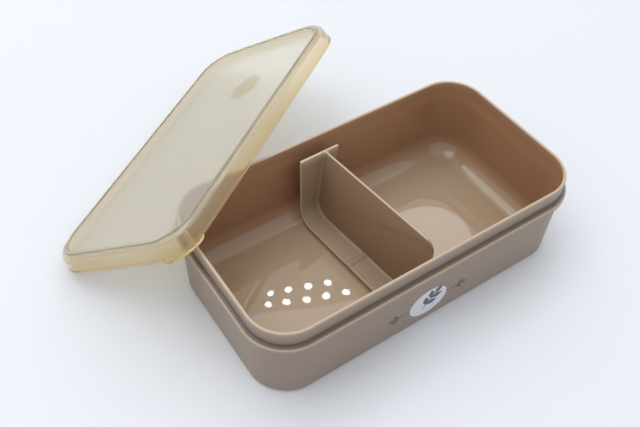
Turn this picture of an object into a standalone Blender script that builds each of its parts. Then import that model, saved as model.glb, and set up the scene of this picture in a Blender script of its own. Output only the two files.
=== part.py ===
"""Single-tier lunch box in three mouldings: a container, a loose divider and a soft lid.

The origin is the middle of the container's flat base. X runs along its long side, the front long
side faces -Y and Z is up. The lid is off: its far long edge stands on the table and the underside
of its panel lies on the container's back left corner.
"""

import math

import bmesh
import bpy
from mathutils import Matrix, Vector

# ---- driving dimensions, metres and degrees ------------------------------------------------

# The rim's crest line, half way through its wall, is what every outline is offset from.
CREST_HALF_X = 0.0870
CREST_HALF_Y = 0.0460
CREST_RADIUS = 0.0187
CORNER_STEPS = 10

BOX_HEIGHT = 0.0485
RIM_HALF_WALL = 0.0008
LEDGE_TOP = 0.0392
LEDGE_THICK = 0.0025
LEDGE_REACH = 0.0029
LEDGE_ROUND = 0.0005
RIM_UNDERCUT = 0.0004
BODY_TOP_OUT = 0.0012
BODY_FOOT_OUT = 0.0004
BODY_RADIUS_EXTRA = 0.0010
FOOT_FILLET = 0.0026
FLOOR_TOP = 0.0020
FLOOR_FILLET = 0.0110
INNER_STEP = 0.0003
INNER_DRAFT = 0.0006

# Divider, in its own frame: the panel stands on X = 0, its flange is at +Y, its foot lies on Z = 0.
STRIP_THICK = 0.0013
PANEL_THICK = 0.0014
PANEL_TOP = 0.0417
PANEL_BACK = 0.0368
PANEL_FRONT = 0.0408
PANEL_NOSE_RADIUS = 0.0065
PANEL_TOE_RADIUS = 0.0100
STRIP_FRONT = 0.0335
BEND_RADIUS = 0.0105
WING_LEFT = 0.0127
WING_RIGHT = 0.0069
WING_FLARE = 0.33
WING_TAPER = 1.6
FLANGE_CORNER = 0.0018
RIDGE_AT = -0.0035
RIDGE_LENGTH = 0.0050
RIDGE_HEIGHT = 0.0009
WELD = 0.0004
DIVIDER_AT = Vector((-0.0048, 0.0013, 0.0031))
DIVIDER_YAW = 5.8
DIVIDER_LEAN = 6.0

# Lid, in its own frame: Z = 0 is the bottom of its skirt, X and Y run like the container's.
LID_BEAD_OUT = 0.0025
LID_BEAD_TALL = 0.0014
LID_SKIRT_FOOT = 0.0020
LID_SKIRT_TOP = 0.0015
LID_WALL = 0.0012
LID_SHOULDER = 0.0030
LID_EDGE_TOP = 0.0088
LID_PANEL_TOP = 0.0089
LID_PANEL_THICK = 0.0013
LID_RIDGE_OUT = -0.0013
LID_RIDGE_IN = -0.0035
LID_RIDGE_TOP = 0.0095
LID_PLUG_OUT = -0.0017
LID_PLUG_IN = -0.0027
LID_PLUG_DEEP = 0.0022
TAB_REACH = 0.0046
TAB_THICK = 0.0014
TAB_SPAN = 58.0
TAB_STEPS = 14
LID_YAW = 33.9
LID_LEAN = -34.2
LID_AT = (-0.0435, 0.0893)
LID_LIFT = 0.0

COLOURS = {
    "container": ((0.33, 0.245, 0.175, 1.0), 0.38),
    "divider": ((0.30, 0.215, 0.150, 1.0), 0.36),
    "soft_lid": ((0.72, 0.62, 0.42, 1.0), 0.42),
}


# ---- helpers -------------------------------------------------------------------------------

def clear_scene():
    for item in list(bpy.data.objects):
        bpy.data.objects.remove(item, do_unlink=True)


def plastic(name):
    colour, roughness = COLOURS[name]
    finish = bpy.data.materials.new(name)
    finish.use_nodes = True
    shader = finish.node_tree.nodes["Principled BSDF"]
    shader.inputs["Base Color"].default_value = colour
    shader.inputs["Roughness"].default_value = roughness
    shader.inputs["Metallic"].default_value = 0.0
    return finish


def make_object(name, bm, finish=None):
    mesh = bpy.data.meshes.new(name)
    bm.to_mesh(mesh)
    bm.free()
    item = bpy.data.objects.new(name, mesh)
    bpy.context.scene.collection.objects.link(item)
    if finish is not None:
        mesh.materials.append(finish)
    return item


def arc(centre, radius, start, end, steps):
    """Points on an arc, from the start angle to the end angle in degrees."""
    points = []
    for step in range(steps + 1):
        turn = math.radians(start + (end - start) * step / steps)
        points.append((centre[0] + radius * math.cos(turn), centre[1] + radius * math.sin(turn)))
    return points


def outline_ring(bm, offset, height, extra_radius=0.0):
    """One closed outline, a set distance outside the rim's crest line."""
    half_x = CREST_HALF_X + offset
    half_y = CREST_HALF_Y + offset
    radius = CREST_RADIUS + offset + extra_radius
    corners = ((1, 1, 0), (-1, 1, 90), (-1, -1, 180), (1, -1, 270))
    verts = []
    for side_x, side_y, start in corners:
        centre = (side_x * (half_x - radius), side_y * (half_y - radius))
        for x, y in arc(centre, radius, start, start + 90, CORNER_STEPS):
            verts.append(bm.verts.new((x, y, height)))
    return verts


def face_outwards(bm):
    """Give every face the same turn, then flip them all if the solid came out inside out."""
    bmesh.ops.recalc_face_normals(bm, faces=bm.faces)
    if bm.calc_volume(signed=True) < 0:
        bmesh.ops.reverse_faces(bm, faces=bm.faces)


def stacked_solid(profile):
    """A solid from outlines joined one to the next, closed flat at the first and the last."""
    bm = bmesh.new()
    rings = [outline_ring(bm, *point) for point in profile]
    for lower, upper in zip(rings, rings[1:]):
        for i in range(len(lower)):
            bm.faces.new((lower[i - 1], lower[i], upper[i], upper[i - 1]))
    for ring in (rings[0], rings[-1]):
        bm.faces.new(ring)
    face_outwards(bm)
    return bm


def plate(outline, x_low, x_high):
    """A flat plate from an outline in Y and Z, as thick as the stretch of X given."""
    bm = bmesh.new()
    face = bm.faces.new([bm.verts.new((x_low, y, z)) for y, z in outline])
    grown = bmesh.ops.extrude_face_region(bm, geom=[face])
    moved = [part for part in grown["geom"] if isinstance(part, bmesh.types.BMVert)]
    bmesh.ops.translate(bm, verts=moved, vec=(x_high - x_low, 0, 0))
    face_outwards(bm)
    return bm


def join_solid(target, tool):
    """Weld a second solid into the target with an exact union; the tool stays as a guide."""
    tool.hide_render = True
    tool.display_type = "WIRE"
    weld = target.modifiers.new("weld_" + tool.name, "BOOLEAN")
    weld.operation = "UNION"
    weld.solver = "EXACT"
    weld.object = tool


# ---- container -----------------------------------------------------------------------------

def container_profile():
    """Offset and height from the base's outer edge, up, over the rim and down to the floor."""
    foot = arc((BODY_FOOT_OUT - FOOT_FILLET, FOOT_FILLET), FOOT_FILLET, 270, 360, 4)
    points = [(x, z, BODY_RADIUS_EXTRA) for x, z in foot]
    ledge_low = LEDGE_TOP - LEDGE_THICK
    points.append((BODY_TOP_OUT, ledge_low - 0.0004, BODY_RADIUS_EXTRA))
    points.append((BODY_TOP_OUT + 0.0004, ledge_low, BODY_RADIUS_EXTRA))
    low_edge = (LEDGE_REACH - LEDGE_ROUND, ledge_low + LEDGE_ROUND)
    high_edge = (LEDGE_REACH - LEDGE_ROUND, LEDGE_TOP - LEDGE_ROUND)
    points += arc(low_edge, LEDGE_ROUND, 270, 360, 2)
    points += arc(high_edge, LEDGE_ROUND, 0, 90, 2)
    points.append((RIM_HALF_WALL + 0.0002, LEDGE_TOP))
    points.append((RIM_HALF_WALL - RIM_UNDERCUT, LEDGE_TOP + 0.0008))
    points.append((RIM_HALF_WALL, LEDGE_TOP + 0.0028))
    points += arc((0.0, BOX_HEIGHT - RIM_HALF_WALL), RIM_HALF_WALL, 0, 180, 6)
    points.append((-RIM_HALF_WALL, LEDGE_TOP + 0.0004))
    wall_top = -RIM_HALF_WALL - INNER_STEP
    points.append((wall_top, LEDGE_TOP - 0.0003))
    fillet_centre = (wall_top - INNER_DRAFT - FLOOR_FILLET, FLOOR_TOP + FLOOR_FILLET)
    points += arc(fillet_centre, FLOOR_FILLET, 360, 270, 7)
    return points


def make_container():
    return make_object("container", stacked_solid(container_profile()), plastic("container"))


# ---- divider -------------------------------------------------------------------------------

def strip_outline():
    """Side view of the bent strip: its wall and floor side first, then back along its inside."""
    bend = (PANEL_BACK - BEND_RADIUS, BEND_RADIUS)
    under = [(-STRIP_FRONT, 0.0)]
    under += arc(bend, BEND_RADIUS, 270, 360, 8)
    under.append((PANEL_BACK, PANEL_TOP))
    inside = [(PANEL_BACK - STRIP_THICK, PANEL_TOP)]
    inside += arc(bend, BEND_RADIUS - STRIP_THICK, 360, 270, 8)
    ridge_steps = 6
    for step in range(ridge_steps + 1):
        share = step / ridge_steps
        y = RIDGE_AT + RIDGE_LENGTH * (0.5 - share)
        rise = RIDGE_HEIGHT * 0.5 * (1 - math.cos(2 * math.pi * share))
        inside.append((y, STRIP_THICK + rise))
    inside.append((-STRIP_FRONT, STRIP_THICK))
    return under + inside


def panel_outline():
    """Side view of the upright panel, a little way into the strip so that the two weld."""
    sole = STRIP_THICK - WELD
    reach = BEND_RADIUS - sole
    toe = (-PANEL_FRONT + PANEL_TOE_RADIUS, sole + PANEL_TOE_RADIUS)
    nose = (-PANEL_FRONT + PANEL_NOSE_RADIUS, PANEL_TOP - PANEL_NOSE_RADIUS)
    outline = arc((PANEL_BACK - BEND_RADIUS, BEND_RADIUS), reach, 270, 360, 8)
    outline.append((PANEL_BACK - sole, PANEL_TOP - WELD / 2))
    outline += arc(nose, PANEL_NOSE_RADIUS - WELD / 2, 90, 180, 6)
    outline += arc(toe, PANEL_TOE_RADIUS, 180, 270, 6)
    return outline


def make_divider():
    strip = plate(strip_outline(), -WING_LEFT, WING_RIGHT)
    for vert in strip.verts:
        up = max(0.0, vert.co.z - BEND_RADIUS) / (PANEL_TOP - BEND_RADIUS)
        vert.co.x *= (1 + WING_FLARE * up) * (1 - WING_TAPER * vert.co.y)
    shoulders = [edge for edge in strip.edges
                 if all(abs(vert.co.z - PANEL_TOP) < 1e-6 for vert in edge.verts)
                 and abs(edge.verts[0].co.x - edge.verts[1].co.x) < 1e-6]
    bmesh.ops.bevel(strip, geom=shoulders, offset=FLANGE_CORNER, segments=4, profile=0.5,
                    affect="EDGES")
    divider = make_object("divider", strip, plastic("divider"))
    half = PANEL_THICK / 2
    panel = make_object("divider_panel_guide", plate(panel_outline(), -half, half))
    join_solid(divider, panel)
    turn = Matrix.Rotation(math.radians(DIVIDER_YAW), 4, "Z")
    turn = turn @ Matrix.Rotation(math.radians(DIVIDER_LEAN), 4, "Y")
    for item in (divider, panel):
        item.matrix_world = Matrix.Translation(DIVIDER_AT) @ turn
    return divider


# ---- lid -----------------------------------------------------------------------------------

def lid_profile():
    """Offset and height from the panel's top, over the ridge, down the skirt and back inside."""
    points = [(LID_RIDGE_IN - 0.0010, LID_PANEL_TOP)]
    ridge_mid = (LID_RIDGE_OUT + LID_RIDGE_IN) / 2
    ridge_half = (LID_RIDGE_OUT - LID_RIDGE_IN) / 2
    for step in range(7):
        share = step / 6
        x = ridge_mid - ridge_half * math.cos(math.pi * share)
        z = LID_EDGE_TOP + (LID_RIDGE_TOP - LID_EDGE_TOP) * math.sin(math.pi * share)
        points.append((x, z))
    shoulder = (LID_SKIRT_TOP - LID_SHOULDER, LID_EDGE_TOP - LID_SHOULDER)
    points += arc(shoulder, LID_SHOULDER, 84, 0, 6)
    points.append((LID_SKIRT_FOOT, LID_BEAD_TALL + 0.0004))
    bead = (LID_BEAD_OUT - LID_BEAD_TALL / 2, LID_BEAD_TALL / 2)
    points += arc(bead, LID_BEAD_TALL / 2, 60, -90, 5)
    inner_foot = LID_SKIRT_FOOT - LID_WALL
    points.append((inner_foot, 0.0002))
    under = LID_PANEL_TOP - LID_PANEL_THICK
    inner_top = LID_SKIRT_TOP - LID_WALL
    inner_round = LID_SHOULDER - LID_WALL
    corner = (inner_top - inner_round, LID_EDGE_TOP - LID_WALL - inner_round)
    points += arc(corner, inner_round, 0, 80, 4)
    points.append((LID_PLUG_OUT + 0.0002, under))
    points.append((LID_PLUG_OUT, under - LID_PLUG_DEEP))
    points.append((LID_PLUG_IN, under - LID_PLUG_DEEP))
    points.append((LID_PLUG_IN - 0.0002, under))
    return points


def tab_body():
    """The finger tab: a lip that swells out of the skirt's foot round the near left corner."""
    centre = (-(CREST_HALF_X - CREST_RADIUS), -(CREST_HALF_Y - CREST_RADIUS))
    root = CREST_RADIUS + LID_SKIRT_FOOT - LID_WALL / 2
    edge = CREST_RADIUS + LID_BEAD_OUT
    inner, outer = [], []
    for step in range(TAB_STEPS + 1):
        share = 2 * step / TAB_STEPS - 1
        turn = math.radians(225 + share * TAB_SPAN / 2)
        swell = math.sqrt(max(0.0, 1 - abs(share) ** 5))
        reach = edge - 0.0006 + TAB_REACH * swell
        inner.append((centre[0] + root * math.cos(turn), centre[1] + root * math.sin(turn)))
        outer.append((centre[0] + reach * math.cos(turn), centre[1] + reach * math.sin(turn)))
    bm = bmesh.new()
    face = bm.faces.new([bm.verts.new((x, y, 0.0001)) for x, y in inner + outer[::-1]])
    grown = bmesh.ops.extrude_face_region(bm, geom=[face])
    moved = [part for part in grown["geom"] if isinstance(part, bmesh.types.BMVert)]
    bmesh.ops.translate(bm, verts=moved, vec=(0, 0, TAB_THICK))
    face_outwards(bm)
    return bm


def make_lid():
    lid = make_object("soft_lid", stacked_solid(lid_profile()), plastic("soft_lid"))
    tab = make_object("tab_guide", tab_body())
    join_solid(lid, tab)
    turn = Matrix.Rotation(math.radians(LID_YAW), 4, "Z")
    turn = turn @ Matrix.Rotation(math.radians(LID_LEAN), 4, "X")
    lowest = min((turn @ vert.co).z for vert in lid.data.vertices)
    place = Vector((LID_AT[0], LID_AT[1], LID_LIFT - lowest))
    for item in (lid, tab):
        item.matrix_world = Matrix.Translation(place) @ turn
    return lid


def main():
    clear_scene()
    make_container()
    make_divider()
    make_lid()
    bpy.context.view_layer.update()


main()
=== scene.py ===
"""Looks of the lunch box: satin and gloss mouldings, a milky soft lid, an ink motif and a studio.

Laid out as a Blender add-on and run as a script. Every piece is modelled where it stands.
"""

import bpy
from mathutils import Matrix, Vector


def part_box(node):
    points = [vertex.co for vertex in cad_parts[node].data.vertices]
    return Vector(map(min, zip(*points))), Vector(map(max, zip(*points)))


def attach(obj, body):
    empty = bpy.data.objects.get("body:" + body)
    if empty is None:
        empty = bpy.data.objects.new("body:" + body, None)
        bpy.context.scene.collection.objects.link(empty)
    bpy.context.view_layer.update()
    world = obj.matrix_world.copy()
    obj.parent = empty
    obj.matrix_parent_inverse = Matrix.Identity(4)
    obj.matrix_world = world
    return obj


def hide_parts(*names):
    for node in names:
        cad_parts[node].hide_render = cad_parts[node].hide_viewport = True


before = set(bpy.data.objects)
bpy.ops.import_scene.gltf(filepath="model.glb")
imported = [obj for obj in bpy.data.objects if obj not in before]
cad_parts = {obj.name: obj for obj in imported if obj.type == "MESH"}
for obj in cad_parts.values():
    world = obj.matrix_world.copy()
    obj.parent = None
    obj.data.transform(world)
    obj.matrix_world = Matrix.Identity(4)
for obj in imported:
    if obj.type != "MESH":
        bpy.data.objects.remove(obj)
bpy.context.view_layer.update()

import math

import bmesh
import bpy
from bpy.props import FloatProperty, FloatVectorProperty, IntProperty, PointerProperty
from mathutils import Matrix, Vector

bl_info = {
    "name": "Lunch box",
    "version": (1, 0, 0),
    "blender": (4, 5, 0),
    "location": "3D View > Sidebar > Lunch box",
    "description": "Builds a lunch box with a loose divider and a soft lid, and its studio",
    "category": "Object",
}

WELD_DISTANCE = 1e-6
SMOOTH_ANGLE = math.radians(40.0)
LONG_STEPS = 12  # steps along half a long side
SHORT_STEPS = 5  # steps along half a short side
FLAT_INSET = 0.0012  # a border that keeps a flat's shading flat
SLAB_ROUND = 0.00045  # the divider's rounded rims
SUNK = 0.0004  # how far the divider's panel goes into its strip
LAMP_HEIGHT = 1.5  # of the lamps that the polished floor mirrors
RIM_FADE = 0.0010  # how far down the rim the painted highlight on its crest fades
LEDGE_FADE = 0.0004  # how far down the ledge the painted highlight on its edge fades
GROOVE_FADE = 0.0013  # how far up and down the groove's shade fades
GROOVE_REACH = 0.0012  # how far out from the crest the groove's shade goes
PANEL_EDGE_FADE = 0.0007  # how far into the divider's panel its painted highlight fades
STRIP_EDGE_FADE = 0.0004  # how far into the divider's strip its painted highlight fades
CREASE_FADE = 0.00045  # how far the painted shade beside the lid's ridge fades
PLASTIC_IOR = 1.49
SOFT_IOR = 1.40
INK_BITE = 0.00001  # how far the ink's back goes into the wall
LEAF_POINT = 0.7  # how far a leaf is drawn out to points
LEAF_SPLAY = math.radians(42.0)


# ---- sizes and colours a user would change -------------------------------------------------

def length(name, description, default):
    """A length in metres that shows in the sidebar."""
    return FloatProperty(name=name, description=description, default=default, unit="LENGTH",
                         precision=5)


def position(name, description, default, size=2):
    """A place in metres that shows in the sidebar."""
    return FloatVectorProperty(name=name, description=description, default=default, size=size,
                               unit="LENGTH", precision=5)


def angle(name, description, degrees):
    """An angle that shows in the sidebar."""
    return FloatProperty(name=name, description=description, default=math.radians(degrees),
                         subtype="ANGLE")


def number(name, description, default):
    """A plain number that shows in the sidebar."""
    return FloatProperty(name=name, description=description, default=default)


def colour(name, description, default):
    """A colour that shows in the sidebar."""
    return FloatVectorProperty(name=name, description=description, default=default, subtype="COLOR",
                               size=3, min=0.0, max=1.0)


class LunchBoxSizes(bpy.types.PropertyGroup):
    """Sizes of the three mouldings."""

    half_long: length("Half length", "Middle to the crest of the rim at a short end", 0.0870)
    half_short: length("Half width", "Middle to the crest of the rim at a long side", 0.0460)
    corner: length("Corner radius", "Radius of the rim's crest at a corner", 0.0187)
    height: length("Height", "Table to the top of the rim", 0.0485)
    rim_half: length("Half rim wall", "Half the thickness of the rim's wall", 0.0008)
    ledge_top: length("Ledge height", "Table to the top of the ledge", 0.0392)
    ledge_thick: length("Ledge thickness", "Thickness of the ledge's outer edge", 0.0025)
    ledge_reach: length("Ledge reach", "Crest of the rim to the ledge's outer edge", 0.0029)
    body_top: length("Body at the ledge", "Rim's crest to the body's outside, at its top", 0.0012)
    body_foot: length("Body at the foot", "Rim's crest to the body's outside, at its foot", 0.0004)
    body_tuck: length("Corner tuck", "How far the body's corners draw in under the ledge", 0.0004)
    foot_fillet: length("Foot fillet", "Radius between the body and the base", 0.0026)
    floor_top: length("Floor", "Thickness of the floor", 0.0020)
    floor_fillet: length("Floor fillet", "Radius between the inside walls and the floor", 0.0110)
    corner_steps: IntProperty(name="Corner steps", description="Facets round one corner",
                              default=30, min=4)


class LunchBoxColours(bpy.types.PropertyGroup):
    """Colours of the plastics and the ink."""

    # painted light: one plastic in three browns; the outside greyed as painted reflection of the
    # pale table, the inside warmer and darker as painted shade between its walls, the floor paler
    # where light falls on it
    shell: colour("Container outside", "Greyed brown of the satin outside", (0.282, 0.212, 0.163))
    inside: colour("Container inside", "Warmer brown of the polished inside", (0.375, 0.200, 0.108))
    floor: colour("Container floor", "Paler brown where the table shines through",
                  (0.455, 0.345, 0.232))
    # painted highlight: the pale colour on the rim's crest and the ledge's edge
    lip_highlight: colour("Container lip", "Pale brown of the rim's crest and the ledge's edge",
                (0.62, 0.48, 0.34))
    # painted light: the divider is one moulding; the strip and flange get a paler, greyer copy of
    # the panel's brown
    divider: colour("Divider panel", "Brown of the divider's panel", (0.290, 0.175, 0.104))
    strip: colour("Divider strip", "Paler brown of the divider's strip", (0.362, 0.266, 0.187))
    # painted highlight on the divider's rims
    divider_edge_highlight: colour("Divider edge", "Pale brown of the divider's rims", (0.60, 0.47, 0.34))
    lid_panel: colour("Lid panel", "Milky colour of the lid's panel", (0.985, 0.945, 0.825))
    # painted light: amber of light passing through the skirt edge-on
    lid_edge_light: colour("Lid edge", "Amber of the lid's thick edge", (0.93, 0.76, 0.46))
    # painted shade: deeper amber beside the lid's ridge
    lid_crease_shade: colour("Lid crease", "Deeper amber beside the lid's ridge", (0.66, 0.50, 0.26))
    ink_pale: colour("Pale ink", "White of the printed badge", (0.66, 0.67, 0.70))
    ink_dark: colour("Dark ink", "Grey of the printed sprigs", (0.085, 0.080, 0.080))
    table: colour("Table", "Pale sweep under the lunch box", (0.79, 0.805, 0.84))


def sizes():
    """The mouldings' shared sizes."""
    return bpy.context.scene.lunch_box_sizes


def colours():
    """The colours of the plastics, the ink and the table."""
    return bpy.context.scene.lunch_box_colours


# ---- shader sums ---------------------------------------------------------------------------

class Flow:
    """A number carried by a material's nodes, so that shader sums read as ordinary ones."""

    def __init__(self, finish, socket):
        self.finish = finish
        self.socket = socket

    def sum(self, operation, first, second=0.0, clamp=False):
        return self.finish.add("ShaderNodeMath", {"operation": operation, "use_clamp": clamp},
                               {0: first, 1: second})

    def __add__(self, other):
        return self.sum("ADD", self, other)

    def __radd__(self, other):
        return self.sum("ADD", other, self)

    def __sub__(self, other):
        return self.sum("SUBTRACT", self, other)

    def __rsub__(self, other):
        return self.sum("SUBTRACT", other, self)

    def __mul__(self, other):
        return self.sum("MULTIPLY", self, other)

    def __rmul__(self, other):
        return self.sum("MULTIPLY", other, self)

    def clamped(self):
        return self.sum("ADD", self, 0.0, clamp=True)


class Finish:
    """A material and the one way that its nodes are added."""

    def __init__(self, name):
        self.material = bpy.data.materials.new(name)
        self.material.use_nodes = True
        self.tree = self.material.node_tree
        self.shader = self.tree.nodes["Principled BSDF"]

    def add(self, kind, settings=None, inputs=None, output=0):
        """One node: its settings first, then its sockets' values or links."""
        node = self.tree.nodes.new(kind)
        for name, value in (settings or {}).items():
            setattr(node, name, value)
        for name, value in (inputs or {}).items():
            self.feed(node.inputs[name], value)
        return Flow(self, node.outputs[output])

    def feed(self, socket, value):
        if isinstance(value, Flow):
            self.tree.links.new(value.socket, socket)
        elif socket.type == "RGBA":
            socket.default_value = (*value, 1.0)
        else:
            socket.default_value = value

    def surface(self, **inputs):
        """Feed the shader's own sockets, underscores standing for the spaces in their names."""
        for name, value in inputs.items():
            self.feed(self.shader.inputs[name.replace("_", " ")], value)

    def place(self, scale=(1.0, 1.0, 1.0), turn=(0.0, 0.0, 0.0)):
        """Where a point lies on the piece, in metres, stretched or turned."""
        spot = self.add("ShaderNodeTexCoord", output="Object")
        return self.add("ShaderNodeMapping", {}, {"Vector": spot, "Scale": scale, "Rotation": turn})

    def noise(self, spot, scale, detail=2.0, roughness=0.5):
        return self.add("ShaderNodeTexNoise", {},
                        {"Vector": spot, "Scale": scale, "Detail": detail, "Roughness": roughness})

    def mark(self, name):
        """A number written on the piece's points."""
        return self.add("ShaderNodeAttribute", {"attribute_name": name}, output="Fac")

    def blend(self, share, first, second):
        """One colour into another."""
        return self.add("ShaderNodeMix", {"data_type": "RGBA"},
                        {"Factor": share, 6: first, 7: second}, output=2)

    def bumps(self, *layers):
        """Height layers, each (height, strength, distance), laid one over another."""
        normal = None
        for height, strength, distance in layers:
            inputs = {"Height": height, "Strength": strength, "Distance": distance}
            if normal is not None:
                inputs["Normal"] = normal
            normal = self.add("ShaderNodeBump", {}, inputs)
        return normal


def tint(base, by):
    """A colour made lighter or darker."""
    return tuple(min(1.0, part * by) for part in base)


# ---- shaping -------------------------------------------------------------------------------

def arc(centre, radius, start, end, steps):
    """Points on an arc of a section, from the start angle to the end angle in degrees."""
    points = []
    for step in range(steps + 1):
        turn = math.radians(start + (end - start) * step / steps)
        points.append((centre[0] + radius * math.cos(turn), centre[1] + radius * math.sin(turn)))
    return points


def verts_of(geom):
    """The vertices that an operator gave back."""
    return [part for part in geom if isinstance(part, bmesh.types.BMVert)]


def edges_of(geom):
    """The edges that an operator gave back."""
    return [part for part in geom if isinstance(part, bmesh.types.BMEdge)]


def draw_section(bm, points):
    """A section as a chain of edges, one vertex at each point."""
    verts = [bmesh.ops.create_vert(bm, co=point)["vert"][0] for point in points]
    return [bm.edges.new(pair) for pair in zip(verts, verts[1:])]


def run_out(bm, edges, step, times):
    """Draw a section along a straight run."""
    for _ in range(times):
        drawn = bmesh.ops.extrude_edge_only(bm, edges=edges)["geom"]
        bmesh.ops.translate(bm, verts=verts_of(drawn), vec=step)
        edges = edges_of(drawn)
        ends = set(verts_of(drawn))
        edges = [edge for edge in edges if all(vert in ends for vert in edge.verts)]
    return edges


def face_outwards(bm):
    """Close the seams and turn every face outwards."""
    bmesh.ops.remove_doubles(bm, verts=bm.verts, dist=WELD_DISTANCE)
    bmesh.ops.recalc_face_normals(bm, faces=bm.faces)
    if bm.calc_volume(signed=True) < 0:
        bmesh.ops.reverse_faces(bm, faces=bm.faces)


def moulding(section):
    """A closed moulding whose section, drawn as offset from the rim's crest and height, is carried
    round a quarter of the outline and mirrored, with a flat at each end of the section."""
    size = sizes()
    bm = bmesh.new()
    edges = draw_section(bm, [(0.0, -size.half_short - offset, height)
                              for offset, height in section])
    run_long = size.half_long - size.corner
    run_short = size.half_short - size.corner
    edges = run_out(bm, edges, Vector((run_long / LONG_STEPS, 0, 0)), LONG_STEPS)
    spun = bmesh.ops.spin(bm, geom=edges, cent=(run_long, -run_short, 0), axis=(0, 0, 1),
                          angle=math.pi / 2, steps=size.corner_steps, use_merge=False)
    edges = edges_of(spun["geom_last"])
    run_out(bm, edges, Vector((0, run_short / SHORT_STEPS, 0)), SHORT_STEPS)
    for axis in ("X", "Y"):
        everything = bm.verts[:] + bm.edges[:] + bm.faces[:]
        bmesh.ops.mirror(bm, geom=everything, matrix=Matrix(), merge_dist=WELD_DISTANCE, axis=axis)
    bmesh.ops.remove_doubles(bm, verts=bm.verts, dist=WELD_DISTANCE)
    rims = [edge for edge in bm.edges if edge.is_boundary]
    flats = bmesh.ops.holes_fill(bm, edges=rims, sides=0)["faces"]
    bmesh.ops.inset_individual(bm, faces=flats, thickness=FLAT_INSET, use_even_offset=True)
    face_outwards(bm)
    return bm


def past_straights(vert):
    """How far a point lies past the ends of the straight sides, along X and along Y."""
    size = sizes()
    return (max(0.0, abs(vert.co.x) - (size.half_long - size.corner)),
            max(0.0, abs(vert.co.y) - (size.half_short - size.corner)))


def offset_of(vert):
    """How far a point lies outside the rim's crest, seen from above."""
    return math.hypot(*past_straights(vert)) - sizes().corner


def corner_share(vert):
    """0 on the straight sides, 1 in the middle of a rounded corner."""
    past_x, past_y = past_straights(vert)
    return math.sin(2 * math.atan2(past_y, past_x)) ** 2 if past_x and past_y else 0.0


def outward(vert):
    """The level direction away from the outline at a point of a moulding."""
    past_x, past_y = past_straights(vert)
    away = Vector((math.copysign(past_x, vert.co.x), math.copysign(past_y, vert.co.y), 0.0))
    return away.normalized()


def write_mark(bm, name, value_at):
    """Write a number on every point, for the finishes to read."""
    layer = bm.verts.layers.float.new(name)
    for vert in bm.verts:
        vert[layer] = value_at(vert)


def finish_piece(name, bm, material, body, node=None):
    """Turn a bmesh into a piece that rides on a body and stands for a node."""
    mesh = bpy.data.meshes.new(name)
    bm.to_mesh(mesh)
    bm.free()
    mesh.materials.append(material)
    mesh.shade_smooth()
    mesh.set_sharp_from_angle(angle=SMOOTH_ANGLE)
    piece = bpy.data.objects.new(name, mesh)
    bpy.context.scene.collection.objects.link(piece)
    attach(piece, body)
    if node:
        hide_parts(node)


# ---- finishes ------------------------------------------------------------------------------

def shell_plastic():
    """Brown plastic, satin grain outside and polished inside, with painted light in its colours.

    One plastic in three browns: greyed outside as painted reflection of the pale table, warmer
    and darker inside as painted shade between the walls, paler on the floor where light falls.
    A painted highlight runs along the rim's crest and the ledge's edge, painted shade along the
    groove.
    """
    finish = Finish("shell_plastic")
    outer_base = tuple(colours().shell)
    inner_base = tuple(colours().inside)
    spot = finish.place()
    inside = finish.mark("inside")
    lip_highlight = finish.mark("lip_highlight")
    groove = finish.mark("groove")
    cloud = finish.noise(spot, 26.0, 3.0)
    grain = finish.noise(spot, 2600.0, 2.0, 0.6)
    flow = finish.noise(finish.place(scale=(0.35, 1.0, 0.35), turn=(0.0, 0.0, 0.5)), 60.0, 3.0)
    sink = finish.noise(spot, 42.0, 0.0)
    uneven = ((cloud - 0.35) * 1.6).clamped()
    outer = finish.blend(uneven, tint(outer_base, 0.95), tint(outer_base, 1.05))
    inner = finish.blend(uneven, tint(inner_base, 0.96), tint(inner_base, 1.04))
    # painted light: the floor paler than the walls, fading up the fillet, where light falls from
    # above
    inner = finish.blend(finish.mark("floor"), inner, tuple(colours().floor))
    inner = finish.blend((flow * 0.20).clamped(), inner, tint(inner_base, 0.90))
    # painted light: outside and inside are one plastic in two browns, greyed outside as painted
    # reflection and darker inside as painted shade
    mix = finish.blend(inside, outer, inner)
    # painted highlight along the rim's crest and the ledge's edge
    mix = finish.blend((lip_highlight * 0.85).clamped(), mix, tuple(colours().lip_highlight))
    # painted shade: darkens the groove at the foot of the rim
    mix = finish.blend((groove * 0.85).clamped(), mix, tint(outer_base, 0.34))
    outer_rough = 0.34 + 0.10 * grain + 0.05 * (cloud - 0.5)
    inner_rough = 0.012 + 0.018 * flow
    rough = inside * inner_rough + (1.0 - inside) * outer_rough
    normal = finish.bumps((grain * (1.0 - inside), 0.30, 0.00006), (sink, 0.06, 0.0007))
    finish.surface(Base_Color=mix, Roughness=rough, Normal=normal, IOR=PLASTIC_IOR,
                   Subsurface_Weight=0.10, Subsurface_Radius=(0.0022, 0.0013, 0.0008),
                   Subsurface_Scale=1.0)
    return finish.material


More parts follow.
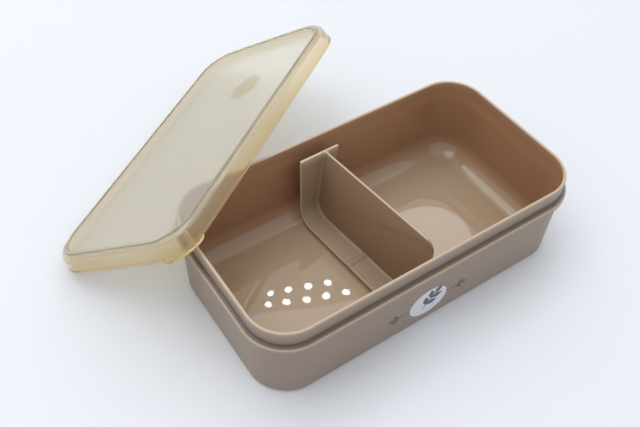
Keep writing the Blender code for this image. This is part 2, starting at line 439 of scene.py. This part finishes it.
def divider_plastic():
    """The divider's brown plastic: satin, a little polished along its edges, with a painted
    highlight there; the strip's paler brown is painted light.
    """
    finish = Finish("divider_plastic")
    base = tuple(colours().divider)
    spot = finish.place()
    edge = finish.mark("edge")
    cloud = finish.noise(spot, 34.0, 3.0)
    grain = finish.noise(spot, 2400.0, 2.0, 0.6)
    drawn = finish.noise(finish.place(scale=(1.0, 1.0, 0.12)), 420.0, 2.0)
    # painted light: a paler, greyer brown on the strip and flange than on the panel
    mix = finish.blend(finish.mark("upright"), tuple(colours().strip), base)
    mix = finish.blend(((cloud - 0.3) * 0.15).clamped(), mix, tint(base, 1.30))
    # painted highlight along the panel's top and front and the strip's rims
    mix = finish.blend((edge * 0.85).clamped(), mix, tuple(colours().divider_edge_highlight))
    rough = 0.30 + 0.12 * grain + 0.05 * drawn - 0.08 * edge
    normal = finish.bumps((grain, 0.28, 0.00006), (drawn, 0.10, 0.00010))
    finish.surface(Base_Color=mix, Roughness=rough, Normal=normal, IOR=PLASTIC_IOR,
                   Subsurface_Weight=0.08, Subsurface_Radius=(0.0020, 0.0012, 0.0008),
                   Subsurface_Scale=1.0)
    return finish.material


def lid_plastic(placing):
    """Milky soft plastic with painted light: amber on its edge for light passing through it
    edge-on, painted shade beside the ridge, and a deeper amber oval on the panel.

    The placing is the lid's own frame in the shared one.
    """
    part = lid_sizes()
    finish = Finish("lid_plastic")
    panel = tuple(colours().lid_panel)
    edge = tuple(colours().lid_edge_light)
    spot = finish.place()
    thick = finish.mark("thick")
    crease_shade = finish.mark("crease_shade")
    cloud = finish.noise(spot, 18.0, 3.0)
    haze = finish.noise(spot, 90.0, 2.0, 0.5)
    mix = finish.blend((cloud * 0.7).clamped(), panel, tint(panel, 0.95))
    # painted light: amber on the skirt, for light passing through it edge-on
    mix = finish.blend((thick + 0.12 * (haze - 0.5)).clamped(), mix, edge)
    # a deeper amber oval on the panel, laid out in the lid's frame
    across = finish.add("ShaderNodeMapping", {"vector_type": "TEXTURE"}, {
        "Vector": spot, "Rotation": placing.to_euler(),
        "Location": placing @ Vector((*part.oval_at, part.panel_top)),
        "Scale": (part.oval_half_long, part.oval_half_wide, part.oval_half_long * 2)})
    far = finish.add("ShaderNodeVectorMath", {"operation": "LENGTH"}, {0: across}, output="Value")
    amber_oval = ((1.15 - far) * 3.0).clamped()
    mix = finish.blend((amber_oval * 0.75).clamped(), mix, tint(edge, 0.86))
    # painted shade along both sides of the ridge
    mix = finish.blend((crease_shade * 0.50).clamped(), mix, tuple(colours().lid_crease_shade))
    rough = 0.13 + 0.05 * haze
    finish.surface(Base_Color=mix, Roughness=rough, Normal=finish.bumps((cloud, 0.12, 0.0010)),
                   IOR=SOFT_IOR, Transmission_Weight=0.84)
    return finish.material


def ink(name, base):
    """Printed ink: slightly uneven cover, a little glossier than the satin under it."""
    finish = Finish(name)
    spot = finish.place()
    cover = finish.noise(spot, 1800.0, 3.0, 0.6)
    cloud = finish.noise(spot, 160.0, 2.0)
    mix = finish.blend((cover * 0.6).clamped(), base, tint(base, 0.90))
    finish.surface(Base_Color=mix, Roughness=0.30 + 0.14 * cloud,
                   Normal=finish.bumps((cover, 0.2, 0.00002)))
    return finish.material


def table_finish():
    """A pale matt sweep with a faint mottle."""
    finish = Finish("table_sweep")
    base = tuple(colours().table)
    spot = finish.place()
    mottle = finish.noise(spot, 9.0, 4.0)
    mix = finish.blend(mottle, tint(base, 0.99), tint(base, 1.01))
    finish.surface(Base_Color=mix, Roughness=0.62 + 0.06 * mottle)
    return finish.material


# ---- the mouldings -------------------------------------------------------------------------

def container_section():
    """From the base, up the body, round the ledge, over the rim and down to the floor."""
    size = sizes()
    fillet = size.foot_fillet
    hollow = 0.0006  # radius under the ledge and at the groove's foot
    small = 0.0004  # radius of the ledge's edges
    groove = size.rim_half - 0.0004  # the groove's wall, cut into the rim's
    wall = -size.rim_half - 0.0003  # the inside wall, stepped in at the ledge
    foot = wall - 0.0006  # the inside wall's foot, drawn in for the mould
    points = [(size.body_foot - fillet - 0.004, 0.0)]
    points += arc((size.body_foot - fillet, fillet), fillet, 270, 360, 12)
    low = size.ledge_top - size.ledge_thick
    for step in range(1, 9):
        share = step / 9
        points.append((size.body_foot + (size.body_top - size.body_foot) * share,
                       fillet + (low - fillet) * share))
    points += arc((size.body_top + hollow, low - hollow), hollow, 180, 90, 5)
    points += arc((size.ledge_reach - small, low + small), small, 270, 360, 6)
    points += arc((size.ledge_reach - small, size.ledge_top - small), small, 0, 90, 6)
    points.append((0.0017, size.ledge_top))
    points += arc((groove + hollow, size.ledge_top + hollow), hollow, 270, 180, 5)
    points.append((groove, size.ledge_top + 0.0014))
    points.append((size.rim_half, size.ledge_top + 0.0024))
    points.append((size.rim_half, size.height - 0.0034))
    points += arc((0.0, size.height - size.rim_half), size.rim_half, 0, 180, 14)
    points.append((-size.rim_half, size.height - 0.0040))
    points.append((-size.rim_half, size.ledge_top + 0.0006))
    points.append((wall, size.ledge_top - 0.0001))
    radius = size.floor_fillet
    for step in range(1, 7):
        share = step / 7
        points.append((wall + (foot - wall) * share,
                       size.ledge_top + (size.floor_top + radius - size.ledge_top) * share))
    points += arc((foot - radius, size.floor_top + radius), radius, 360, 270, 22)
    return points


class LUNCHBOX_OT_container(bpy.types.Operator):
    """Mould the container, with its ledge, groove, thin rim and filleted floor"""

    bl_idname = "lunchbox.container"
    bl_label = "Container"

    def execute(self, context):
        size = sizes()
        bm = moulding(container_section())
        low = size.ledge_top - size.ledge_thick - 0.0004
        for vert in bm.verts:
            least = -0.0030 if vert.co.z < size.foot_fillet else -0.0010
            if 0.0 < vert.co.z < low and offset_of(vert) > least:
                vert.co -= outward(vert) * size.body_tuck * corner_share(vert)

        def inside(vert):
            within = offset_of(vert) < -size.rim_half * 0.5
            above = vert.co.z > size.floor_top - 0.0001
            return 1.0 if within and above else 0.0

        # painted highlight: pale near the rim's crest and along the ledge's outer edge
        def lip_highlight(vert):
            on_rim = 1.0 - (size.height - vert.co.z) / RIM_FADE
            on_ledge = 1.0 - abs(size.ledge_top - 0.0001 - vert.co.z) / LEDGE_FADE
            if offset_of(vert) < size.ledge_reach - 0.0005:
                on_ledge = 0.0
            return max(0.0, on_rim, on_ledge)

        # painted shade in the groove at the foot of the rim
        def groove(vert):
            level = 1.0 - abs(size.ledge_top + 0.0005 - vert.co.z) / GROOVE_FADE
            return max(0.0, level) if 0.0 < offset_of(vert) < GROOVE_REACH else 0.0

        # painted light: paler on the floor, fading up the fillet, where light falls from above
        def floor(vert):
            rise = (vert.co.z - size.floor_top) / size.floor_fillet
            return inside(vert) * min(1.0, max(0.0, 1.0 - rise)) ** 1.5

        write_mark(bm, "inside", inside)
        write_mark(bm, "floor", floor)
        write_mark(bm, "lip_highlight", lip_highlight)
        write_mark(bm, "groove", groove)
        finish_piece("container_shell", bm, shell_plastic(), "box", node="container")
        return {"FINISHED"}


class DividerSizes(bpy.types.PropertyGroup):
    """Sizes and place of the divider, in its own frame: the panel stands on X = 0."""

    strip: length("Strip thickness", "Thickness of the bent strip", 0.0013)
    panel: length("Panel thickness", "Thickness of the upright panel", 0.0014)
    top: length("Height", "Foot of the strip to the top of the panel", 0.0417)
    back: length("Back", "Panel's middle to the flange's outer face", 0.0368)
    front: length("Front", "Panel's middle to its front edge", 0.0408)
    nose: length("Front top radius", "Radius of the panel's front top corner", 0.0065)
    toe: length("Front foot radius", "Radius of the panel's front bottom corner", 0.0100)
    strip_front: length("Strip front", "Panel's middle to the strip's front edge", 0.0335)
    bend: length("Bend radius", "Outer radius of the strip's bend", 0.0105)
    wing_left: length("Left wing", "Panel to the strip's left edge", 0.0127)
    wing_right: length("Right wing", "Panel to the strip's right edge", 0.0069)
    flare: number("Flange flare", "How much wider than the strip the flange's top is", 0.33)
    taper: number("Strip taper", "How fast the strip widens to the front", 1.6)
    ridge_at: length("Ridge", "Panel's middle to the middle of the cross ridge", -0.0035)
    ridge_long: length("Ridge length", "Length of the cross ridge along the strip", 0.0050)
    ridge_tall: length("Ridge height", "Height of the cross ridge", 0.0009)
    yaw: angle("Yaw", "Turn about the upright", 5.8)
    lean: angle("Lean", "Lean to the right", 6.0)
    at: position("Place", "Where its own origin stands", (-0.0048, 0.0013, 0.0031), size=3)


def divider_sizes():
    """The divider's own sizes."""
    return bpy.context.scene.lunch_box_divider


def strip_path(part, inset):
    """The strip's path seen from the side, front to flange top, at a depth inside its outside."""
    centre = (part.back - part.bend, part.bend)
    points = [(-part.strip_front + part.strip_front * step / 7, inset) for step in range(7)]
    points += [(centre[0] * step / 5, inset) for step in range(5)]
    points += arc(centre, part.bend - inset, 270, 360, 16)
    for step in range(1, 9):
        points.append((part.back - inset, part.bend + (part.top - part.bend) * step / 8))
    return points


def slab(outline, low, high):
    """A plate from an outline in Y and Z, its rims rounded by a bevel."""
    bm = bmesh.new()
    corners = [bmesh.ops.create_vert(bm, co=(low, y, z))["vert"][0] for y, z in outline]
    loop = [bm.edges.new((corners[i - 1], corners[i])) for i in range(len(corners))]
    face = bmesh.ops.edgeloop_fill(bm, edges=loop)["faces"]
    grown = bmesh.ops.extrude_face_region(bm, geom=face)["geom"]
    bmesh.ops.translate(bm, verts=verts_of(grown), vec=(high - low, 0, 0))
    face_outwards(bm)
    rims = [edge for edge in bm.edges
            if abs(edge.verts[0].co.x - edge.verts[1].co.x) < WELD_DISTANCE]
    bmesh.ops.bevel(bm, geom=rims, offset=SLAB_ROUND, offset_type="OFFSET", segments=4,
                    profile=0.5, affect="EDGES", material=-1)
    return bm


def poured_into(target, source):
    """Put one bmesh's shape into another as a shell of its own."""
    mesh = bpy.data.meshes.new("shell_in_passing")
    source.to_mesh(mesh)
    source.free()
    target.from_mesh(mesh)
    bpy.data.meshes.remove(mesh)


def strip_spread(part, vert):
    """How much wider than its middle the strip is at a point."""
    up = max(0.0, vert.co.z - part.bend) / (part.top - part.bend)
    return (1 + part.flare * up) * (1 - part.taper * vert.co.y)


def divider_strip(part):
    """The bent strip with its flange and cross ridge, its rims rounded."""
    outer = strip_path(part, 0.0)
    inner = strip_path(part, part.strip)[::-1]
    ridge = []
    for step in range(13):
        share = step / 12
        swell = 0.5 * (1 - math.cos(2 * math.pi * share))
        ridge.append((part.ridge_at + part.ridge_long * (0.5 - share),
                      part.strip + part.ridge_tall * swell))
    clear = part.ridge_long / 2 + 0.0004
    before = [point for point in inner if point[0] > part.ridge_at + clear]
    after = [point for point in inner if point[0] < part.ridge_at - clear]
    bm = slab(outer + before + ridge + after, -part.wing_left, part.wing_right)
    for vert in bm.verts:
        vert.co.x *= strip_spread(part, vert)
    return bm


def divider_panel(part):
    """The upright panel, a little way into the strip so that the two are one moulding."""
    sole = part.strip - SUNK
    outline = arc((part.back - part.bend, part.bend), part.bend - sole, 270, 360, 16)
    outline.append((part.back - sole, part.top - 0.0001))
    nose = (-part.front + part.nose, part.top - part.nose)
    toe = (-part.front + part.toe, sole + part.toe)
    outline += arc(nose, part.nose - 0.0001, 90, 180, 14)
    outline += arc(toe, part.toe, 180, 270, 14)
    return slab(outline, -part.panel / 2, part.panel / 2)


def divider_fillet(part, side):
    """The small hollow radius between the panel and the strip, on one side."""
    radius = 0.0011
    under = 0.0003  # how far it goes into the panel and the strip
    reach = part.panel / 2 + radius
    section = [(part.panel / 2 - under, -under), (reach, -under)]
    section += arc((reach, radius), radius, 270, 180, 5)
    section.append((part.panel / 2 - under, radius))
    bm = bmesh.new()
    path = [point for point in strip_path(part, part.strip) if point[0] > -part.front + part.toe]
    rings = []
    for index, (y, z) in enumerate(path):
        ahead = path[min(index + 1, len(path) - 1)]
        behind = path[max(index - 1, 0)]
        along = Vector((ahead[0] - behind[0], ahead[1] - behind[1])).normalized()
        rise = Vector((-along[1], along[0]))
        ring = []
        for across, up in section:
            place = (side * across, y + rise[0] * up, z + rise[1] * up)
            ring.append(bmesh.ops.create_vert(bm, co=place)["vert"][0])
        rings.append([bm.edges.new((ring[i - 1], ring[i])) for i in range(len(ring))])
    for lower, upper in zip(rings, rings[1:]):
        bmesh.ops.bridge_loops(bm, edges=lower + upper)
    bmesh.ops.holes_fill(bm, edges=rings[0] + rings[-1], sides=0)
    face_outwards(bm)
    return bm


class LUNCHBOX_OT_divider(bpy.types.Operator):
    """Mould the divider: an upright panel on a bent strip that ends in a flange"""

    bl_idname = "lunchbox.divider"
    bl_label = "Divider"

    def execute(self, context):
        part = divider_sizes()
        bm = divider_strip(part)
        poured_into(bm, divider_panel(part))
        for side in (-1, 1):
            poured_into(bm, divider_fillet(part, side))

        # painted highlight: pale along the panel's top and front edges and the strip's rims
        def edge(vert):
            near_top = 1.0 - abs(part.top - vert.co.z) / PANEL_EDGE_FADE
            near_front = 1.0 - abs(part.front + vert.co.y) / PANEL_EDGE_FADE
            across = vert.co.x / strip_spread(part, vert)
            to_rim = min(abs(across + part.wing_left), abs(part.wing_right - across))
            return max(0.0, near_top, near_front, 1.0 - to_rim / STRIP_EDGE_FADE)

        # the panel, which keeps the darker brown; the strip's paler brown is painted light
        def upright(vert):
            return 1.0 if abs(vert.co.x) < part.panel / 2 + 0.0002 else 0.0

        write_mark(bm, "edge", edge)
        write_mark(bm, "upright", upright)
        turn = Matrix.Rotation(part.yaw, 4, "Z") @ Matrix.Rotation(part.lean, 4, "Y")
        bmesh.ops.transform(bm, matrix=Matrix.Translation(part.at) @ turn, verts=bm.verts)
        finish_piece("divider_moulding", bm, divider_plastic(), "divider",
                     node="divider")
        return {"FINISHED"}


class LidSizes(bpy.types.PropertyGroup):
    """Sizes and place of the lid, in its own frame: Z = 0 is the bottom of its skirt."""

    bead_out: length("Bead reach", "Crest line to the outside of the bead", 0.0025)
    bead_tall: length("Bead height", "Height of the bead at the skirt's foot", 0.0014)
    skirt_foot: length("Skirt at the foot", "Crest line to the skirt's outside at its foot", 0.0020)
    skirt_top: length("Skirt at the top", "Crest line to the skirt's outside at its top", 0.0015)
    wall: length("Skirt thickness", "Thickness of the skirt", 0.0012)
    shoulder: length("Shoulder radius", "Radius between the skirt and the top", 0.0030)
    edge_top: length("Edge height", "Foot of the skirt to the top of the edge", 0.0088)
    panel_top: length("Panel height", "Foot of the skirt to the top of the panel", 0.0089)
    panel: length("Panel thickness", "Thickness of the panel", 0.0013)
    ridge_out: length("Ridge outside", "Crest line to the outside of the ridge", -0.0013)
    ridge_in: length("Ridge inside", "Crest line to the inside of the ridge", -0.0035)
    ridge_top: length("Ridge height", "Foot of the skirt to the top of the ridge", 0.0095)
    plug_out: length("Rib outside", "Crest line to the outside of the rib underneath", -0.0017)
    plug_in: length("Rib inside", "Crest line to the inside of the rib underneath", -0.0027)
    plug_deep: length("Rib depth", "How far the rib hangs under the panel", 0.0022)
    tab_reach: length("Tab reach", "How far the finger tab stands out of the bead", 0.0046)
    tab_span: angle("Tab span", "Angle that the tab takes of the corner", 58.0)
    # an amber oval on the panel
    oval_at: position("Oval", "Middle of the oval in the panel", (0.0346, -0.0137))
    oval_half_long: length("Gate half length", "Half the oval's length along the lid", 0.0105)
    oval_half_wide: length("Gate half width", "Half the oval's width across the lid", 0.0088)
    yaw: angle("Yaw", "Turn about the upright", 33.9)
    lean: angle("Lean", "Lean about the long side", -34.2)
    at: position("Place", "Where its own origin stands, seen from above", (-0.0435, 0.0893))


def lid_sizes():
    """The lid's own sizes."""
    return bpy.context.scene.lunch_box_lid


def lid_section(part):
    """From the panel's top, over the ridge, down the skirt, round the bead and back inside."""
    run = 0.0030  # flat run of the panel beside the ridge and beside the rib
    ease = 0.0002  # small radii at the bead and the rib
    foot_ease = 0.0003  # small bevel at the skirt's foot
    dip = 0.35  # how far the ridge's sides dip, as a share of its height
    points = [(part.ridge_in - run, part.panel_top), (part.ridge_in - 0.0004, part.panel_top)]
    middle = (part.ridge_out + part.ridge_in) / 2
    half = (part.ridge_out - part.ridge_in) / 2
    for step in range(17):
        share = step / 16
        rise = (1 + dip) * math.sin(math.pi * share) ** 0.7 - dip
        points.append((middle - half * math.cos(math.pi * share),
                       part.edge_top + (part.ridge_top - part.edge_top) * rise))
    shoulder = (part.skirt_top - part.shoulder, part.edge_top - part.shoulder)
    points += arc(shoulder, part.shoulder, 86, 0, 14)
    for step in range(1, 4):
        share = step / 4
        height = part.edge_top - part.shoulder
        points.append((part.skirt_top + (part.skirt_foot - part.skirt_top) * share,
                       height + (part.bead_tall + foot_ease - height) * share))
    points += arc((part.skirt_foot + ease, part.bead_tall + foot_ease), ease, 180, 270, 3)
    half_bead = part.bead_tall / 2
    points += arc((part.bead_out - half_bead, half_bead), half_bead, 80, -90, 10)
    inner_foot = part.skirt_foot - part.wall
    points.append((inner_foot + foot_ease, 0.0))
    points.append((inner_foot, foot_ease))
    inner_top = part.skirt_top - part.wall
    round_in = part.shoulder - part.wall
    centre = (inner_top - round_in, part.edge_top - part.wall - round_in)
    points += arc(centre, round_in, 0, 80, 8)
    under = part.panel_top - part.panel
    points.append((part.plug_out + ease, under))
    points.append((part.plug_out, under - part.plug_deep + ease))
    middle = (part.plug_out + part.plug_in) / 2
    reach = (part.plug_out - part.plug_in) / 2
    points += arc((middle, under - part.plug_deep + reach), reach, 0, -180, 6)
    points.append((part.plug_in - ease, under))
    points.append((part.plug_in - run, under))
    return points


class LUNCHBOX_OT_lid(bpy.types.Operator):
    """Mould the soft lid, with its ridge, skirt, bead and finger tab"""

    bl_idname = "lunchbox.lid"
    bl_label = "Soft lid"

    def execute(self, context):
        size = sizes()
        part = lid_sizes()
        bm = moulding(lid_section(part))
        centre = Vector((size.corner - size.half_long, size.corner - size.half_short))
        foot_radius = size.corner + part.skirt_foot
        for vert in bm.verts:
            arm = vert.co.xy - centre
            if vert.co.z > part.bead_tall + 0.0001 or arm.length < foot_radius - 0.0002:
                continue
            if arm.x > 0 or arm.y > 0:
                continue
            share = 2 * (math.atan2(-arm.y, -arm.x) - math.pi / 4) / part.tab_span
            swell = math.sqrt(max(0.0, 1 - abs(share) ** 3))
            vert.co.xy += arm.normalized() * part.tab_reach * swell

        # painted light: amber on the skirt, deeper towards its foot, for light passing through the
        # plastic edge-on
        def thick(vert):
            drop = part.edge_top - vert.co.z
            if drop <= 0.0002:
                return 0.0
            return min(1.0, max(0.0, drop / part.edge_top * 1.15 + 0.22))

        # painted shade: deeper amber along both sides of the ridge
        def crease_shade(vert):
            if vert.co.z < part.edge_top - 0.0004:
                return 0.0
            to_side = min(abs(offset_of(vert) - at) for at in (part.ridge_out, part.ridge_in))
            return max(0.0, 1.0 - to_side / CREASE_FADE)

        write_mark(bm, "thick", thick)
        write_mark(bm, "crease_shade", crease_shade)
        turn = Matrix.Rotation(part.yaw, 4, "Z") @ Matrix.Rotation(part.lean, 4, "X")
        bmesh.ops.transform(bm, matrix=turn, verts=bm.verts)
        lowest = min(vert.co.z for vert in bm.verts)
        stands_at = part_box("soft_lid")[0][2]
        shift = Vector((*part.at, stands_at - lowest))
        bmesh.ops.translate(bm, verts=bm.verts, vec=shift)
        plastic = lid_plastic(Matrix.Translation(shift) @ turn)
        finish_piece("soft_lid_moulding", bm, plastic, "lid", node="soft_lid")
        return {"FINISHED"}


# ---- printed motif -------------------------------------------------------------------------

class MotifSizes(bpy.types.PropertyGroup):
    """Sizes and place of the printed badge and its sprigs on the front wall."""

    middle: position("Badge middle", "Badge's middle along X and Z", (-0.0024, 0.0158))
    half_wide: length("Badge half width", "Half the badge's width", 0.0108)
    half_tall: length("Badge half height", "Half the badge's height", 0.0094)
    side_left: position("Left sprig", "Place of the left sprig", (-0.0182, 0.0158))
    side_right: position("Right sprig", "Place of the right sprig", (0.0134, 0.0158))
    badge_sprig: number("Badge sprig", "Scale of the sprig on the badge", 1.12)
    badge_turn: angle("Badge sprig turn", "How far the sprig on the badge is turned", 52.0)
    side_sprig: number("Side sprigs", "Scale of the sprigs beside the badge", 0.80)
    film: length("Ink film", "How far the ink stands off the wall", 0.00004)


def inked_disc(half_wide, half_tall, segments, pointed=0.0):
    """A thin disc lying in X and Y, drawn out to points at its ends if asked."""
    bm = bmesh.new()
    bmesh.ops.create_circle(bm, cap_ends=True, radius=1.0, segments=segments)
    for vert in bm.verts:
        vert.co.y *= 1.0 - pointed * abs(vert.co.x) ** 1.5
    bmesh.ops.scale(bm, vec=(half_wide, half_tall, 1.0), verts=bm.verts)
    return bm


def laid_on_wall(target, source, place, turn, lift):
    """Turn a flat ink shape, stand it up on the front wall and give it the film's thickness."""
    size = sizes()
    bmesh.ops.rotate(source, cent=(0, 0, 0), matrix=Matrix.Rotation(turn, 3, "Z"),
                     verts=source.verts)
    grown = bmesh.ops.extrude_face_region(source, geom=source.faces[:])["geom"]
    bmesh.ops.translate(source, verts=verts_of(grown), vec=(0, 0, lift))
    rise = size.ledge_top - size.ledge_thick - size.foot_fillet
    slope = (size.body_top - size.body_foot) / rise
    for vert in source.verts:
        across, up, out = vert.co.x + place[0], vert.co.y + place[1], vert.co.z
        wall = size.half_short + size.body_foot + slope * (up - size.foot_fillet)
        vert.co = (across, INK_BITE - wall - out, up)
    face_outwards(source)
    poured_into(target, source)


def sprig(target, place, turn, scale, film, pairs):
    """Pairs of leaves along a stem, with one leaf at its tip."""
    lean = Matrix.Rotation(turn, 2)

    def put(half_long, half_wide, along, across, splay, pointed):
        shape = inked_disc(half_long * scale, half_wide * scale, 32 if pointed else 24, pointed)
        offset = lean @ Vector((along * scale, across * scale))
        laid_on_wall(target, shape, (place[0] + offset.x, place[1] + offset.y), turn + splay, film)

    put(0.0052, 0.00042, 0.0008, 0.0, 0.0, 0.0)
    put(0.0026, 0.00150, 0.0072, 0.0, 0.0, LEAF_POINT)
    for pair in range(pairs):
        along = 0.0042 - pair * 0.0040
        for side in (-1, 1):
            put(0.0027, 0.00145, along, side * 0.0022, side * LEAF_SPLAY, LEAF_POINT)


class LUNCHBOX_OT_motif(bpy.types.Operator):
    """Print the pale oval badge and the leaf sprigs on the front wall"""

    bl_idname = "lunchbox.motif"
    bl_label = "Printed motif"

    def execute(self, context):
        part = context.scene.lunch_box_motif
        badge = bmesh.new()
        disc = inked_disc(part.half_wide, part.half_tall, 96)
        laid_on_wall(badge, disc, part.middle, 0.0, part.film)
        pale = tuple(colours().ink_pale)
        finish_piece("motif_badge", badge, ink("pale_ink", pale), "box")
        leaves = bmesh.new()
        sprig(leaves, part.middle, part.badge_turn, part.badge_sprig, part.film * 2, 2)
        for place, turn in ((part.side_left, math.pi), (part.side_right, 0.0)):
            sprig(leaves, place, turn, part.side_sprig, part.film, 1)
        dark = tuple(colours().ink_dark)
        finish_piece("motif_leaves", leaves, ink("dark_ink", dark), "box")
        return {"FINISHED"}


# ---- stage ---------------------------------------------------------------------------------

class LUNCHBOX_OT_stage(bpy.types.Operator):
    """Lay the pale sweep, hang the lamps and set up the camera"""

    bl_idname = "lunchbox.stage"
    bl_label = "Stage"

    def execute(self, context):
        self.lay_table()
        self.light_room()
        self.hang_lamps()
        self.set_camera()
        return {"FINISHED"}

    def lay_table(self):
        bm = bmesh.new()
        bmesh.ops.create_grid(bm, x_segments=8, y_segments=8, size=6.0)
        mesh = bpy.data.meshes.new("table_sweep")
        bm.to_mesh(mesh)
        bm.free()
        mesh.materials.append(table_finish())
        sweep = bpy.data.objects.new("table_sweep", mesh)
        bpy.context.scene.collection.objects.link(sweep)

    def light_room(self):
        room = bpy.data.worlds.new("pale_room")
        room.use_nodes = True
        sky = room.node_tree.nodes["Background"]
        sky.inputs["Color"].default_value = (0.92, 0.958, 1.0, 1.0)
        sky.inputs["Strength"].default_value = 0.84
        bpy.context.scene.world = room
        bpy.context.scene.view_settings.view_transform = "Standard"

    def add_lamp(self, name, shape, size, power, place, aim, tone=(1.0, 1.0, 1.0), size_y=None):
        """A soft lamp that the camera doesn't see."""
        lamp = bpy.data.lights.new(name, "AREA")
        lamp.shape = shape
        lamp.size = size
        if size_y:
            lamp.size_y = size_y
        lamp.energy = power
        lamp.color = tone
        holder = bpy.data.objects.new(name, lamp)
        holder.location = place
        holder.rotation_euler = (Vector(aim) - Vector(place)).to_track_quat("-Z", "Y").to_euler()
        holder.visible_camera = False
        bpy.context.scene.collection.objects.link(holder)
        return holder

    def hang_lamps(self):
        self.add_lamp("soft_box_high", "RECTANGLE", 1.1, 5.8, (-0.35, 0.35, 1.35), (0.0, 0.03, 0.0),
                      (1.0, 0.99, 0.97), 0.8)
        self.add_lamp("soft_box_back", "RECTANGLE", 2.3, 4.6, (0.72, 0.98, 1.75), (0.0, 0.03, 0.0),
                      (1.0, 1.0, 0.97), 1.6)
        self.add_lamp("round_box", "DISK", 0.27, 0.50, (0.938, 0.808, LAMP_HEIGHT), (0.0, 0.0, 0.0))
        card = self.add_lamp("low_card", "RECTANGLE", 0.50, 0.8, (0.433, 0.689, LAMP_HEIGHT),
                             (0.433, 0.689, 0.0), size_y=0.34)
        card.rotation_euler = (0.0, 0.0, math.radians(-22.5))
        first = Vector((0.447, 0.896, LAMP_HEIGHT))
        along = Vector((0.051, -0.020, 0.0))
        across = Vector((0.026, 0.031, 0.0))
        for row in range(2):
            for place in range(5 - row):
                spot = first + along * place + across * row
                self.add_lamp(f"spot_{row}_{place}", "ELLIPSE", 0.020, 0.024, spot,
                              (0.0, 0.0, 0.0), size_y=0.014)

    def set_camera(self):
        camera = bpy.data.cameras.new("camera")
        camera.sensor_width = 36.0
        camera.lens = 44.48
        camera.clip_start = 0.02
        camera.clip_end = 40.0
        holder = bpy.data.objects.new("camera", camera)
        around, above, roll = (math.radians(angle) for angle in (-35.656, 48.898, 2.308))
        back = Vector((math.sin(around) * math.cos(above), -math.cos(around) * math.cos(above),
                       math.sin(above)))
        side = (-back).cross(Vector((0, 0, 1))).normalized()
        up = side.cross(-back)
        right = side * math.cos(roll) + up * math.sin(roll)
        top = up * math.cos(roll) - side * math.sin(roll)
        frame_of = Matrix((right, top, back)).transposed().to_4x4()
        frame_of.translation = Vector((-0.006609, 0.036522, 0.0)) + back * 0.422538
        holder.matrix_world = frame_of
        bpy.context.scene.collection.objects.link(holder)
        bpy.context.scene.camera = holder


# ---- add-on --------------------------------------------------------------------------------

class LUNCHBOX_PT_panel(bpy.types.Panel):
    """Sizes, colours and the steps that build the lunch box"""

    bl_idname = "LUNCHBOX_PT_panel"
    bl_label = "Lunch box"
    bl_space_type = "VIEW_3D"
    bl_region_type = "UI"
    bl_category = "Lunch box"

    def draw(self, context):
        scene = context.scene
        for group in (getattr(scene, name) for name in GROUPS):
            box = self.layout.box()
            for name in group.__annotations__:
                box.prop(group, name)
        for step in STEPS:
            self.layout.operator(step.bl_idname)


STEPS = (LUNCHBOX_OT_container, LUNCHBOX_OT_motif, LUNCHBOX_OT_divider, LUNCHBOX_OT_lid,
         LUNCHBOX_OT_stage)
GROUPS = {
    "lunch_box_sizes": LunchBoxSizes,
    "lunch_box_divider": DividerSizes,
    "lunch_box_lid": LidSizes,
    "lunch_box_motif": MotifSizes,
    "lunch_box_colours": LunchBoxColours,
}


def register():
    for group in GROUPS.values():
        bpy.utils.register_class(group)
    for step in STEPS:
        bpy.utils.register_class(step)
    bpy.utils.register_class(LUNCHBOX_PT_panel)
    for name, group in GROUPS.items():
        setattr(bpy.types.Scene, name, PointerProperty(type=group))


def unregister():
    for name in GROUPS:
        delattr(bpy.types.Scene, name)
    bpy.utils.unregister_class(LUNCHBOX_PT_panel)
    for step in reversed(STEPS):
        bpy.utils.unregister_class(step)
    for group in reversed(list(GROUPS.values())):
        bpy.utils.unregister_class(group)


def main():
    register()
    for step in STEPS:
        area, name = step.bl_idname.split(".")
        getattr(getattr(bpy.ops, area), name)()
    bpy.context.view_layer.update()


if __name__ == "__main__":
    main()
